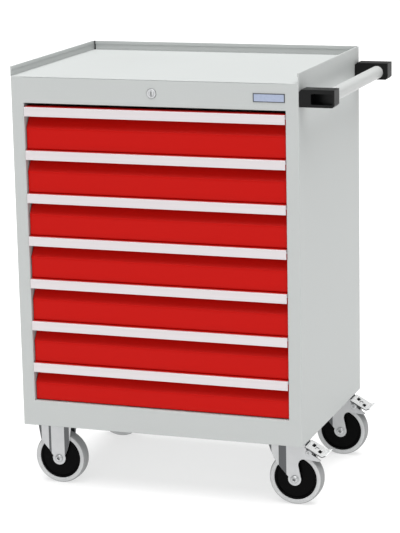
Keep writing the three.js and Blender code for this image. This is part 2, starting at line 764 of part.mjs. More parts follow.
function addCasters() {
  const tyre = tyreShape();
  const hub = hubShape();
  const axle = axleShape();
  const fixedFork = fixedForkShape();
  const swivelPlate = swivelPlateShape();
  const swivelFork = swivelForkShape();
  const brakePedal = brakePedalShape();
  const rows = [
    ["front", CASTER_FRONT_Y],
    ["rear", CASTER_REAR_Y],
  ];
  for (const [row, y] of rows) {
    const left = new THREE.Group();
    left.position.set(FIXED_CASTER_X, y, WHEEL_RADIUS);
    const right = new THREE.Group();
    right.position.set(SWIVEL_X + SWIVEL_TRAIL, y, WHEEL_RADIUS);
    chest.add(left, right);
    for (const [side, group] of [["left", left], ["right", right]]) {
      piece(`${row}_${side}_tyre`, tyre, GREY_RUBBER, [0, 0, 0], group);
      piece(`${row}_${side}_hub`, hub, BLACK_NYLON, [0, 0, 0], group);
      piece(`${row}_${side}_axle`, axle, ZINC, [0, 0, 0], group);
    }
    piece(`${row}_left_fork`, fixedFork, ZINC, [0, 0, 0], left);
    piece(`${row}_right_plate`, swivelPlate, ZINC, [0, 0, 0], right);
    piece(`${row}_right_fork`, swivelFork, ZINC, [0, 0, 0], right);
    piece(`${row}_right_brake_pedal`, brakePedal, CHROME, [0, 0, 0], right);
  }
}

addSidePanels();
addBackPanel();
addBasePlate();
addFrontRails();
addTopTray();
addRunnerRacks();
addDrawers();
addLockHousing();
addLockPlug();
addLockRod();
addLockBar();
addLockRodBracket();
addNameplate();
addHandle();
addCasters();

// The whole object's box runs from the left side to the handle's reach, and from the grips to
// the back.
chest.position.set(-HANDLE_REACH / 2, -(BODY_DEPTH - GRIP_PROUD) / 2, 0);

const root = new THREE.Group();
root.add(chest);

export default root;
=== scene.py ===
# %% [markdown]
# # A rolling tool chest
# The cabinet is folded from steel sheet and powder coated. Seven drawers run in it, each with an
# aluminium grip strip, and it rolls on two fixed and two braked swivel casters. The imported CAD
# model says where everything is; this file builds the pieces that are seen around it.

# %% Load the frame
import json
import math

import bmesh
import bpy
from mathutils import Matrix, Vector

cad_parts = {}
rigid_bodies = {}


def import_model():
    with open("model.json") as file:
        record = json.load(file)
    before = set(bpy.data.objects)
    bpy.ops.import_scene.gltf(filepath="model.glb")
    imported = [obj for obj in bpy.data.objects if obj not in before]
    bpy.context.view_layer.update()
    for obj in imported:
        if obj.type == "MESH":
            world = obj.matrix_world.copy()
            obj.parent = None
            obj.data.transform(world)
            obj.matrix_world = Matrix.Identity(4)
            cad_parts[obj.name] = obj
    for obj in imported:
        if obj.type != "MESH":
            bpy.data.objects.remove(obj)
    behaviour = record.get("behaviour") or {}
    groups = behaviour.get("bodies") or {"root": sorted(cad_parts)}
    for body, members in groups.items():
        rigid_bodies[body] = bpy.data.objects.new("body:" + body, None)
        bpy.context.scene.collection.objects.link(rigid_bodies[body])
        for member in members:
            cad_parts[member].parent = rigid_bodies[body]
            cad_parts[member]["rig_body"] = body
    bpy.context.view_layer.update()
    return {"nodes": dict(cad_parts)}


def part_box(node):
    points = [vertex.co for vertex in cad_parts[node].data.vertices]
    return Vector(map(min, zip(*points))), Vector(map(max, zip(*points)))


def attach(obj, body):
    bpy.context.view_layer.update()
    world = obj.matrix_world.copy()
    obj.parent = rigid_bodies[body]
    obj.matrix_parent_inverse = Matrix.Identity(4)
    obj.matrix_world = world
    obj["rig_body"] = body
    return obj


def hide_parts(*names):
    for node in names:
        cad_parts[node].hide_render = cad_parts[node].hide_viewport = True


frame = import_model()

# %% [markdown]
# ## A bench in millimetres
# Sheet metal is easier to think about in millimetres, measured from the cabinet itself. On the
# bench x = 0 is the middle of the cabinet, y = 0 its front plane and z = 0 the ground. A piece is
# modelled there and moved into the frame, in metres, when it is finished.

# %% Bench origin
MM = 0.001
ORIGIN = Vector((
    (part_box("left_side_panel")[0].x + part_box("right_side_panel")[1].x) / 2,
    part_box("right_side_panel")[0].y,
    0,
))


def span(node):
    """A CAD node's lowest and highest corner on the bench, in millimetres."""
    low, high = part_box(node)
    return (low - ORIGIN) / MM, (high - ORIGIN) / MM


WIDTH, DEPTH = (span("right_side_panel")[1].x * 2, span("right_side_panel")[1].y)
print(f"cabinet {WIDTH:.0f} wide and {DEPTH:.0f} deep")

# %% [markdown]
# ## Camera
# A long lens from the right and a little above, almost three quarters of a metre over the top
# panel, so that uprights stay nearly parallel. The direction is built from three small turns, and
# the matrix columns are the camera's right, up and backward axes.

# %% Camera
YAW = 0.3407
PITCH = 0.2214
ROLL = -0.0208
LENS = 144.16
CAMERA_PLACE = Vector((1.6223, -4.63886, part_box("right_side_panel")[0].z + 1.45176))

forward = Vector((-math.sin(YAW) * math.cos(PITCH), math.cos(YAW) * math.cos(PITCH), -math.sin(PITCH)))
level = Vector((math.cos(YAW), math.sin(YAW), 0))
upright = level.cross(forward)
right = math.cos(ROLL) * level + math.sin(ROLL) * upright
up = math.cos(ROLL) * upright - math.sin(ROLL) * level

lens = bpy.data.cameras.new("camera")
lens.lens = LENS
lens.sensor_width = 36
camera = bpy.data.objects.new("camera", lens)
bpy.context.scene.collection.objects.link(camera)
camera.matrix_world = Matrix.Translation(CAMERA_PLACE) @ Matrix((right, up, -forward)).transposed().to_4x4()
bpy.context.scene.camera = camera
print("camera", [round(value, 2) for value in camera.location])

# %% [markdown]
# ## Light
# A studio sweep lights a product from all round: an even pale surrounding, and a broad soft lamp
# overhead that makes the tray brighter than the walls and puts a soft shadow under the chest. Two
# sun lamps with very wide angles do this evenly: a strong one overhead, a weak one from in front.

# %% World and lamps
def add_sun(name, strength, angle, direction):
    sun = bpy.data.lights.new(name, "SUN")
    sun.energy = strength
    sun.angle = math.radians(angle)
    lamp = bpy.data.objects.new(name, sun)
    lamp.rotation_euler = Vector(direction).to_track_quat("-Z", "Y").to_euler()
    bpy.context.scene.collection.objects.link(lamp)
    return lamp


world = bpy.data.worlds.new("studio")
world.use_nodes = True
world.node_tree.nodes["Background"].inputs["Color"].default_value = (1, 1, 1, 1)
world.node_tree.nodes["Background"].inputs["Strength"].default_value = 0.38
bpy.context.scene.world = world
add_sun("overhead", 4.3, 70, (-0.1, 0.08, -1))
add_sun("front_fill", 0.6, 60, (-0.15, 1, -0.25))
bpy.context.scene.view_settings.view_transform = "Standard"
print("lights:", [lamp.name for lamp in bpy.data.lights])

# %% [markdown]
# ## Shader sums
# A material is a small formula. Written as nodes it is hard to read, so one class wraps a socket
# and lets Python's own operators add the Math nodes. Any other node comes from its `node` method.

# %% The Shade class
class Shade:
    """A socket of a material's nodes. 1 - mask or mask * 0.5 adds the Math node for it."""

    def __init__(self, tree, socket=None):
        self.tree = tree
        self.socket = socket

    def node(self, kind, settings=None, sockets=None, out=0):
        """Adds a node: its settings first, then the values or links of its sockets."""
        made = self.tree.nodes.new("ShaderNode" + kind)
        for name, value in (settings or {}).items():
            setattr(made, name, value)
        for key, value in (sockets or {}).items():
            if isinstance(value, Shade):
                self.tree.links.new(value.socket, made.inputs[key])
            else:
                made.inputs[key].default_value = value
        return Shade(self.tree, made.outputs[out])

    def _sum(self, operation, first, second):
        return self.node("Math", {"operation": operation}, {0: first, 1: second})

    def __add__(self, other):
        return self._sum("ADD", self, other)

    __radd__ = __add__

    def __sub__(self, other):
        return self._sum("SUBTRACT", self, other)

    def __rsub__(self, other):
        return self._sum("SUBTRACT", other, self)

    def __mul__(self, other):
        return self._sum("MULTIPLY", self, other)

    __rmul__ = __mul__

    def over(self, edge):
        """1 where this value is over the edge, else 0."""
        return self._sum("GREATER_THAN", self, edge)

    def ramp(self, low, high):
        """0 below low, 1 above high and a straight line between."""
        return self.node("MapRange", {"clamp": True}, {"Value": self, "From Min": low, "From Max": high})

    def blend(self, low, high):
        """The colour low where this mask is 0 and high where it is 1."""
        return self.node("Mix", {"data_type": "RGBA"}, {0: self, 6: low, 7: high}, out=2)


def linear(red, green, blue):
    """A colour picked on screen, 0 to 255, as the linear light that a shader works with."""
    def channel(value):
        value = value / 255
        return value / 12.92 if value <= 0.04045 else ((value + 0.055) / 1.055) ** 2.4

    return (channel(red), channel(green), channel(blue), 1)


def tinted(colour, factor):
    """The same colour, lighter or darker."""
    return (*[channel * factor for channel in colour[:3]], 1)


# %% [markdown]
# ## Finishes
# Each finish starts from the same three things: where a point is on the piece, a fine grain and a
# slow cloud. They drive small changes of colour and gloss, and a bump. Constants go straight onto
# the shader's sockets.

# %% A finish from its parts
FINISHES = {}


def start_finish(slot):
    """A new material with its shader, and the place of a point on the piece."""
    material = bpy.data.materials.new(slot)
    material.use_nodes = True
    tree = material.node_tree
    FINISHES[slot] = material
    shader = tree.nodes["Principled BSDF"]
    return shader, Shade(tree).node("TexCoord", out="Object")


def stretched(place, scale):
    """The place with each axis scaled, so that a pattern is drawn out along one of them."""
    return place.node("Mapping", {"vector_type": "POINT"}, {"Vector": place, "Scale": scale})


def noise(place, scale, detail=2.0, roughness=0.5):
    sockets = {"Vector": place, "Scale": scale, "Detail": detail, "Roughness": roughness}
    return place.node("TexNoise", {"noise_dimensions": "3D"}, sockets)


def painted_shade_mask(place):
    """1 on the faces of a piece that carry painted shade, its darker tone, else 0."""
    return place.node("Attribute", {"attribute_name": "painted_shade", "attribute_type": "GEOMETRY"}, out=2)


def wire(shader, bump=None, **values):
    """Puts values or links on the shader's sockets, and a height through a Bump node."""
    tree = shader.id_data
    for key, value in values.items():
        socket = shader.inputs[key.replace("_", " ")]
        if isinstance(value, Shade):
            tree.links.new(value.socket, socket)
        else:
            socket.default_value = value
    if bump:
        height, distance, strength = bump
        sockets = {"Height": height, "Distance": distance, "Strength": strength}
        normal = height.node("Bump", {}, sockets)
        tree.links.new(normal.socket, shader.inputs["Normal"])


# %% [markdown]
# ### Powder coat
# Powder melts and flows into a skin with a faint orange peel, about a millimetre across. Its gloss
# drifts slowly over a panel, and use leaves a few hairline scuffs where it is duller. Grey and red
# differ only in their colour and gloss.

# %% Powder coat
def powder_coat(slot, colour, gloss_low, gloss_high, peel=0.35, spec=0.2):
    shader, place = start_finish(slot)
    cloud = noise(place, 4.0)
    orange_peel = noise(place, 620.0, 1.0)
    scuffs = noise(stretched(place, (14, 3, 220)), 9.0, 6.0, 0.7).ramp(0.66, 0.74)
    skin = cloud.blend(tinted(colour, 0.975), tinted(colour, 1.02))
    worn = (scuffs * 0.12).blend(skin, tinted(colour, 0.86))
    gloss = cloud * (gloss_high - gloss_low) + gloss_low
    wire(
        shader,
        Base_Color=worn,
        Roughness=gloss + scuffs * 0.1,
        Specular_IOR_Level=spec,
        bump=(orange_peel, 0.0002, peel),
    )


powder_coat("grey_paint", linear(181, 184, 183), 0.42, 0.52)
powder_coat("red_paint", linear(184, 12, 5), 0.36, 0.44, spec=0.1)
powder_coat("tube_paint", linear(178, 180, 179), 0.3, 0.4, peel=0.2)
print("painted:", sorted(FINISHES))

# %% [markdown]
# ### Aluminium
# The grip is a drawn section: fine lines run along its length, and a clear anodised skin makes it
# pale and satin. The noise is stretched along x so that the grain follows the drawing direction.

# %% Anodised aluminium
def anodised():
    shader, place = start_finish("aluminium")
    grain = noise(stretched(place, (2, 900, 900)), 1.0, 3.0)
    cloud = noise(place, 7.0)
    wire(
        shader,
        # the faint pink in this base colour is a painted reflection of the red drawer fronts
        Base_Color=grain.blend(linear(202, 196, 198), linear(216, 210, 212)),
        Metallic=0.35,
        Roughness=grain * 0.12 + cloud * 0.06 + 0.38,
        bump=(grain, 0.0001, 0.25),
    )


anodised()

# %% [markdown]
# ### Zinc in three kinds
# Galvanised sheet freezes in flat crystals, seen as a spangle of slightly different greys. Plated
# forks are smoother, with a cloudy bluish film, and bright zinc on the pedals is paler and glossier
# still. Faces that carry the painted shade mark take a dark tone: shade painted onto slopes, slots
# and edges, which the studio light would wash out.

# %% Zinc
def galvanised():
    shader, place = start_finish("galvanised")
    spangle = place.node("TexVoronoi", {"feature": "F1"}, {"Vector": place, "Scale": 110.0}, out="Color")
    shade = spangle.node("SeparateColor", {"mode": "RGB"}, {0: spangle}, out=0)
    grain = noise(place, 420.0, 3.0)
    wire(
        shader,
        Base_Color=shade.blend(linear(168, 171, 174), linear(196, 198, 200)),
        Metallic=0.85,
        Roughness=shade * 0.14 + grain * 0.1 + 0.36,
        bump=(shade + grain * 0.5, 0.0001, 0.2),
    )


def plated(slot, dark, light, roughness, metallic, bump):
    shader, place = start_finish(slot)
    film = noise(place, 38.0, 4.0, 0.6)
    fine = noise(place, 700.0, 2.0)
    rubbed = noise(place, 16.0, 5.0).ramp(0.52, 0.68)
    wire(
        shader,
        # painted shade: marked faces turn dark grey, linear(66, 68, 70), for shade the lamps do not give
        Base_Color=(painted_shade_mask(place) * 0.9).blend(film.blend(dark, light), linear(66, 68, 70)),
        Metallic=metallic,
        Roughness=film * 0.1 + fine * 0.06 + rubbed * 0.12 + roughness,
        bump=(fine, 0.0001, bump),
    )


galvanised()
plated("zinc", linear(180, 182, 184), linear(198, 199, 199), 0.26, 0.6, 0.3)
plated("bright_zinc", linear(232, 234, 236), linear(244, 244, 242), 0.16, 0.5, 0.1)
plated("chrome", linear(186, 188, 190), linear(204, 205, 206), 0.3, 0.6, 0.05)
print("metals:", sorted(FINISHES))

# %% [markdown]
# ### Rubber and plastics
# The tyres are grey rubber: matt and slightly mottled. The tread is darker, as painted shade on
# the faces that carry a mark that the material reads. The hubs are smooth black nylon, and the
# handle brackets have the fine leather grain of a textured mould.

# %% Rubber and plastics
def rubber():
    shader, place = start_finish("grey_rubber")
    mottle = noise(place, 60.0, 5.0, 0.6)
    pores = noise(place, 1500.0, 2.0)
    side = mottle.blend(linear(180, 181, 182), linear(200, 201, 201))
    # the darker tread colour is painted shade, laid on the marked tread faces
    tread = mottle.blend(linear(134, 135, 136), linear(156, 157, 157))
    wire(
        shader,
        Base_Color=painted_shade_mask(place).blend(side, tread),
        Roughness=mottle * 0.15 + 0.55,
        bump=(mottle * 0.4 + pores, 0.0002, 0.35),
    )


def nylon():
    shader, place = start_finish("black_nylon")
    flow = noise(place, 30.0, 3.0)
    dust = noise(place, 900.0, 2.0)
    wire(
        shader,
        Base_Color=flow.blend(linear(2, 2, 2), linear(5, 5, 6)),
        Roughness=flow * 0.12 + dust * 0.08 + 0.24,
        Specular_IOR_Level=0.05,
        bump=(dust, 0.00005, 0.15),
    )


def moulded():
    shader, place = start_finish("black_plastic")
    leather = place.node("TexVoronoi", {"feature": "F1"}, {"Vector": place, "Scale": 1300.0})
    drift = noise(place, 25.0, 3.0)
    wire(
        shader,
        Base_Color=drift.blend(linear(6, 7, 7), linear(14, 15, 15)),
        Roughness=drift * 0.12 + leather * 0.1 + 0.34,
        Specular_IOR_Level=0.2,
        bump=(leather, 0.0001, 0.5),
    )


rubber()
nylon()
moulded()

# %% [markdown]
# ### Nameplate
# A dark frame round a pale blue field, left blank. The frame is a matter of distance: a point
# near enough to the plate's edge in x or in z is on it.

# %% Nameplate finish
def label():
    low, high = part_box("nameplate")
    centre = (low + high) / 2
    half = (high - low) / 2
    shader, place = start_finish("label")
    across = place.node("SeparateXYZ", {}, {0: place}, out=0)
    rise = place.node("SeparateXYZ", {}, {0: place}, out=2)

    def near_edge(value, middle, reach, border):
        distance = value.node("Math", {"operation": "ABSOLUTE"}, {0: value - middle})
        return distance.over(reach - border)

    sides = near_edge(across, centre.x, half.x, 2.2 * MM)
    ends = near_edge(rise, centre.z, half.z, 1.9 * MM)
    border = sides.node("Math", {"operation": "MAXIMUM"}, {0: sides, 1: ends})
    cloud = noise(place, 160.0, 3.0)
    field = cloud.blend(linear(146, 156, 180), linear(164, 174, 196))
    wire(
        shader,
        Base_Color=border.blend(field, linear(62, 66, 72)),
        Roughness=cloud * 0.15 + 0.3,
        bump=(cloud, 0.0001, 0.1),
    )


label()
print("finishes:", sorted(FINISHES))

# %% [markdown]
# ## Floor
# A wide pale floor stands in for a studio table lit from below, so that shadows on it stay light.
# It is not part of the chest, and joins none of its bodies.

# %% Floor
def add_floor():
    bpy.ops.object.select_all(action="DESELECT")
    bpy.ops.mesh.primitive_plane_add(size=120)
    floor = bpy.context.object
    floor.name = "floor"
    shader, place = start_finish("floor")
    cloud = noise(place, 2.0)
    wire(
        shader,
        Base_Color=cloud.blend((0.39, 0.39, 0.39, 1), (0.41, 0.41, 0.41, 1)),
        Roughness=0.9,
        Specular_IOR_Level=0.0,
        Emission_Color=(1, 1, 1, 1),
        Emission_Strength=0.62,
    )
    floor.data.materials.append(FINISHES["floor"])


add_floor()

# %% [markdown]
# ## Tools for the bench
# Operators act on what is selected, so every piece starts with nothing selected, and faces and
# edges are picked in code, by where they are and which way they point.

# %% Selecting
def choose(piece):
    """Leaves edit mode with only this piece selected and active."""
    if bpy.context.mode != "OBJECT":
        bpy.ops.object.mode_set(mode="OBJECT")
    bpy.ops.object.select_all(action="DESELECT")
    if piece:
        piece.select_set(True)
        bpy.context.view_layer.objects.active = piece


def edit(piece):
    choose(piece)
    bpy.ops.object.mode_set(mode="EDIT")


def middle(item):
    """Where a vertex, an edge or a face is."""
    if isinstance(item, bmesh.types.BMVert):
        return item.co
    corners = [vertex.co for vertex in item.verts]
    return sum(corners, Vector()) / len(corners)


def runs(edge, axis):
    """True if an edge runs along an axis, 0 to 2."""
    way = (edge.verts[1].co - edge.verts[0].co).normalized()
    return abs(way[axis]) > 0.99


def is_fold(edge):
    """True where two faces meet at an angle."""
    return len(edge.link_faces) == 2 and edge.calc_face_angle() > 0.3


def near(value, target, reach=0.1):
    return abs(value - target) < reach


def select(kind, test):
    """In edit mode, selects the vertices, edges or faces that pass the test, and counts them."""
    bpy.ops.mesh.select_mode(type=kind)
    bpy.ops.mesh.select_all(action="DESELECT")
    mesh = bmesh.from_edit_mesh(bpy.context.edit_object.data)
    mesh.normal_update()
    items = {"VERT": mesh.verts, "EDGE": mesh.edges, "FACE": mesh.faces}[kind]
    found = [item for item in items if test(item)]
    for item in found:
        item.select_set(True)
    bmesh.update_edit_mesh(bpy.context.edit_object.data)
    return len(found)


# %% [markdown]
# ## Drawing a section
# Folded sheet, drawn aluminium and turned parts all start as a line. A plane is merged to a single
# vertex, and that vertex is pulled from point to point. Swept straight, the line is a folded
# sheet; spun about an axle, it is a turned part.

# %% Drawing, sweeping and turning
def pull(*step):
    """Extrudes what is selected by a step."""
    bpy.ops.mesh.extrude_region_move(TRANSFORM_OT_translate={"value": step})


def draw(name, points):
    """A line of edges through the points, left open in edit mode with its last vertex selected."""
    choose(None)
    bpy.ops.mesh.primitive_plane_add(size=1)
    piece = bpy.context.object
    piece.name = name
    bpy.ops.object.mode_set(mode="EDIT")
    bpy.ops.mesh.select_mode(type="VERT")
    bpy.ops.mesh.merge(type="CENTER")
    points = [Vector(point) for point in points]
    bpy.ops.transform.translate(value=points[0])
    for here, there in zip(points, points[1:]):
        pull(*(there - here))
    return piece


def laid(axis, along, pair):
    """A point from its place along an axis, 0 to 2, and its two other coordinates."""
    point = list(pair)
    point.insert(axis, along)
    return Vector(point)


def sweep(name, axis, ends, path, bend=1.6):
    """The middle layer of a folded sheet: a path swept along an axis, with its folds rounded."""
    start, end = ends
    piece = draw(name, [laid(axis, start, pair) for pair in path])
    bpy.ops.mesh.select_all(action="SELECT")
    pull(*laid(axis, end - start, (0, 0)))
    if bend:
        round_folds(axis, bend)
    return piece


def round_folds(axis, radius, segments=4, test=lambda edge: True):
    """Bevels the folds that run along an axis."""
    if select("EDGE", lambda edge: is_fold(edge) and runs(edge, axis) and test(edge)):
        bpy.ops.mesh.bevel(offset=radius, segments=segments, affect="EDGES")


def turn(name, profile, centre=(0, 0, 0), axis=(0, 1, 0), steps=48):
    """A solid of revolution: the profile holds (radius, place along the axis)."""
    centre = Vector(centre)
    along = Vector(axis)
    out = Vector((1, 0, 0))
    points = [centre + out * radius + along * place for radius, place in profile]
    piece = draw(name, points)
    bpy.ops.mesh.select_all(action="SELECT")
    bpy.ops.mesh.spin(steps=steps, angle=2 * math.pi, center=centre, axis=axis)
    clean(piece)
    return piece


def clean(piece):
    """Merges doubles and turns all faces outwards."""
    edit(piece)
    bpy.ops.mesh.select_all(action="SELECT")
    bpy.ops.mesh.remove_doubles(threshold=0.002)
    bpy.ops.mesh.dissolve_degenerate(threshold=0.0005)
    bpy.ops.mesh.normals_make_consistent(inside=False)
    choose(piece)


def modify(piece, kind, **settings):
    """Adds a modifier and applies it."""
    choose(piece)
    modifier = piece.modifiers.new(kind.title(), kind)
    for name, value in settings.items():
        setattr(modifier, name, value)
    bpy.ops.object.modifier_apply(modifier=modifier.name)


def thicken(piece, gauge):
    """Gives a middle layer its gauge, half to each side."""
    modify(piece, "SOLIDIFY", thickness=gauge, offset=0, use_even_offset=True)


def soften(piece, width=0.35, segments=2, angle=40, test=lambda edge: True):
    """Breaks the sharp edges that pass the test, so that they catch the light."""
    edit(piece)
    limit = math.radians(angle)
    if select("EDGE", lambda edge: is_fold(edge) and edge.calc_face_angle() > limit and test(edge)):
        bpy.ops.mesh.bevel(offset=width, segments=segments, affect="EDGES", clamp_overlap=True)
    choose(piece)


# %% [markdown]
# ## Joining, cutting, copying and finishing
# A boolean cuts real holes. A copy has its own mesh, and a mirrored copy has its faces turned
# back. Finishing shrinks a piece from the bench into the frame and hides the CAD it stands for.

# %% Joining, cutting, copying and finishing
def solid_box(name, low, high):
    """A block between two corners."""
    choose(None)
    low, high = Vector(low), Vector(high)
    bpy.ops.mesh.primitive_cube_add(size=1, location=(low + high) / 2)
    piece = bpy.context.object
    piece.name = name
    piece.scale = high - low
    bpy.ops.object.transform_apply(location=True, rotation=True, scale=True)
    return piece


def merge(piece, *others):
    """Puts other solids into the same piece."""
    choose(piece)
    for other in others:
        other.select_set(True)
    bpy.ops.object.join()
    return piece


def cut(piece, cutter):
    """Takes the cutter's shape out of the piece."""
    modify(piece, "BOOLEAN", operation="DIFFERENCE", solver="EXACT", object=cutter)
    bpy.data.objects.remove(cutter)


def press_within(piece, low, high):
    """Moves points that stand a hair outside a box onto it."""
    for vertex in piece.data.vertices:
        vertex.co = [min(max(place, least), most) for place, least, most in zip(vertex.co, low, high)]


def mark_painted_shade(piece, test):
    """Marks the faces that take painted shade, the darker tone of their finish."""
    painted_shade = piece.data.attributes.new("painted_shade", "FLOAT", "FACE")
    for face in piece.data.polygons:
        painted_shade.data[face.index].value = 1.0 if test(face) else 0.0


def copy(piece, name, shift=(0, 0, 0), mirror=None):
    """A copy with its own mesh, mirrored across the plane x = 0 or y = 0 first if wished."""
    twin = piece.copy()
    twin.data = piece.data.copy()
    twin.name = name
    bpy.context.scene.collection.objects.link(twin)
    if mirror:
        twin.data.transform(Matrix.Scale(-1, 4, mirror))
        twin.data.flip_normals()
    twin.data.transform(Matrix.Translation(shift))
    return twin


def finish(piece, slot, body, *nodes, smooth=35):
    """Takes a piece off the bench: metres, material, body and the CAD nodes it stands for."""
    choose(piece)
    piece.data.transform(Matrix.Translation(ORIGIN) @ Matrix.Scale(MM, 4))
    bpy.ops.object.shade_smooth_by_angle(angle=math.radians(smooth))
    modify(piece, "WEIGHTED_NORMAL", keep_sharp=True)
    piece.data.materials.clear()
    piece.data.materials.append(FINISHES[slot])
    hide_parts(*nodes)
    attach(piece, body)
    print(f"{piece.name}: {len(piece.data.polygons)} faces")


# %% [markdown]
# ## Side panels
# Each side is one sheet: a return, the front stile, the side itself and a rear flange, with the
# tray's rim standing on top. The rim is folded double along its top, which is called a hem, and
# its rear end is turned in. The sheet is swept upright, and the rest is pulled from its edges.

# %% Side panels
GAUGE = 1.5
HALF = GAUGE / 2
HEM_GAP = 0.2
HEM_DROP = 8
TURNED_END = 3.6
RIM_GAP = 5.7
TRAY_UNDERSIDE = span("front_top_panel")[1].z + 0.3
OPENING = (span("front_bottom_skirt")[1].z, span("front_top_panel")[0].z)


def beside_opening(item):
    return OPENING[0] < middle(item).z < OPENING[1]


def side_panel():
    low, high = span("right_side_panel")
    stile, side = low.x + HALF, high.x - HALF
    front, rear = low.y + HALF, high.y - HALF
    foot, rim_top = low.z, high.z - HALF
    path = [(stile, 22), (stile, front), (side, front), (side, rear), (high.x - 20, rear)]
    piece = sweep("side_panel", 2, (foot, TRAY_UNDERSIDE), path, bend=None)
    for z in OPENING:
        bpy.ops.mesh.select_all(action="SELECT")
        bpy.ops.mesh.bisect(plane_co=(0, 0, z), plane_no=(0, 0, 1))
    select("FACE", lambda face: near(middle(face).x, stile) and not beside_opening(face))
    bpy.ops.mesh.delete(type="FACE")
    select("EDGE", lambda edge: runs(edge, 2) and near(middle(edge).x, stile) and not beside_opening(edge))
    bpy.ops.transform.translate(value=(-HALF, 0, 0))

    select("EDGE", lambda edge: near(middle(edge).z, TRAY_UNDERSIDE) and near(middle(edge).x, side))
    pull(0, 0, rim_top - TRAY_UNDERSIDE)
    select(
        "EDGE",
        lambda edge: runs(edge, 2) and near(middle(edge).y, rear) and middle(edge).z > TRAY_UNDERSIDE,
    )
    pull(HALF - TURNED_END, 0, 0)
    select("FACE", lambda face: near(middle(face).x, side) and middle(face).z > TRAY_UNDERSIDE)
    bpy.ops.mesh.bisect(plane_co=(0, rear - 2, 0), plane_no=(0, 1, 0))
    select(
        "EDGE",
        lambda edge: runs(edge, 1) and near(middle(edge).z, rim_top) and middle(edge).y < rear - 5,
    )
    pull(-GAUGE - HEM_GAP, 0, 0)
    pull(0, 0, HALF - HEM_DROP)

    round_folds(2, 1.8)
    round_folds(1, 0.7, 3, lambda edge: middle(edge).z > rim_top - 1)
    thicken(piece, GAUGE)
    clean(piece)
    soften(piece, test=lambda edge: middle(edge).x > low.x + 0.1 or beside_opening(edge))
    press_within(piece, low, high)
    return piece


right_panel = side_panel()
left_panel = copy(right_panel, "chest_side_left", mirror=(1, 0, 0))
right_panel.name = "chest_side_right"
finish(right_panel, "grey_paint", "cabinet", "right_side_panel")
finish(left_panel, "grey_paint", "cabinet", "left_side_panel")

# %% [markdown]
# ## Tray
# The tray floor runs between the sides, and its rim stands up at the back with a hem along the
# top. The front edge is rounded over the panel below it, which is what makes the bright line
# there. The rim stops short of the turned ends, and a black strip in each slit is painted shade.

# %% Tray
def tray():
    low, high = span("top_tray")
    panel_top = TRAY_UNDERSIDE
    floor = panel_top + HALF
    rear = high.y - HALF
    floor_rear = high.y - GAUGE - 0.3
    rim_half = high.x - RIM_GAP
    piece = sweep("chest_tray", 0, (low.x, high.x), [(low.y, floor), (floor_rear, floor)], bend=None)
    for side in (-rim_half, rim_half):
        bpy.ops.mesh.select_all(action="SELECT")
        bpy.ops.mesh.bisect(plane_co=(side, 0, 0), plane_no=(1, 0, 0))
    select("EDGE", lambda edge: near(middle(edge).y, floor_rear) and near(middle(edge).x, 0))
    pull(0, rear - floor_rear, 0)
    pull(0, 0, high.z - HALF - floor)
    pull(0, -GAUGE - HEM_GAP, 0)
    pull(0, 0, HALF - HEM_DROP)
    round_folds(0, 0.7, 3)
    thicken(piece, GAUGE)
    clean(piece)
    edit(piece)
    select("EDGE", lambda edge: runs(edge, 0) and near(middle(edge).y, low.y) and middle(edge).z > floor)
    bpy.ops.mesh.bevel(offset=1.4, segments=4, affect="EDGES")
    soften(piece, 0.25)
    press_within(piece, low, high)
    return piece


def add_slit_shade_strips():
    """Black strips in the slits between the rear rim and the turned ends: painted shade, dark where the
    slits lie in shadow.
    """
    low, high = span("top_tray")
    near_side = high.x - RIM_GAP + 0.2
    far_side = span("right_side_panel")[1].x - TURNED_END - 0.2
    for side, name in ((-1, "left"), (1, "right")):
        ends = sorted((side * near_side, side * far_side))
        low_corner = (ends[0], high.y - GAUGE, TRAY_UNDERSIDE + GAUGE)
        # each strip is painted shade: black plastic where the slit would lie in shadow
        strip = solid_box(f"tray_slit_shade_{name}", low_corner, (ends[1], high.y - 0.3, high.z - 0.5))
        soften(strip, 0.2)
        finish(strip, "black_plastic", "cabinet")


finish(tray(), "grey_paint", "cabinet", "top_tray")
add_slit_shade_strips()

# %% [markdown]
# ## Top panel and skirt
# Two channels close the front above and below the drawers. Their ends are welded to the stiles and
# ground flush under the paint, so they run right up to them. Both are swept along x from a C
# shaped path.

# %% Top panel and skirt
def front_rail(name, node, path):
    half = span("right_side_panel")[0].x
    piece = sweep(name, 0, (-half, half), path, bend=1.3)
    thicken(piece, GAUGE)
    clean(piece)
    soften(piece, 0.25, test=lambda edge: abs(middle(edge).x) < half - 1)
    finish(piece, "grey_paint", "cabinet", node)


def add_front_rails():
    low, high = span("front_top_panel")
    top, foot = TRAY_UNDERSIDE - HALF, low.z + HALF
    front_rail("chest_top_panel", "front_top_panel", [(14, top), (HALF, top), (HALF, foot), (high.y, foot)])
    low, high = span("front_bottom_skirt")
    top, foot = high.z - HALF, low.z + HALF
    front_rail("chest_skirt", "front_bottom_skirt", [(12, foot), (HALF, foot), (HALF, top), (high.y, top)])


add_front_rails()

# %% [markdown]
# ## Back panel
# The back is a flat sheet behind the rear flanges, stiffened by a shallow pressed field, and it
# carries two loops that guide the lock bar. A plane is inset twice for the pressing, and the loops
# are swept strips.

# %% Back panel
GUIDE_LOOPS = (285, 685)


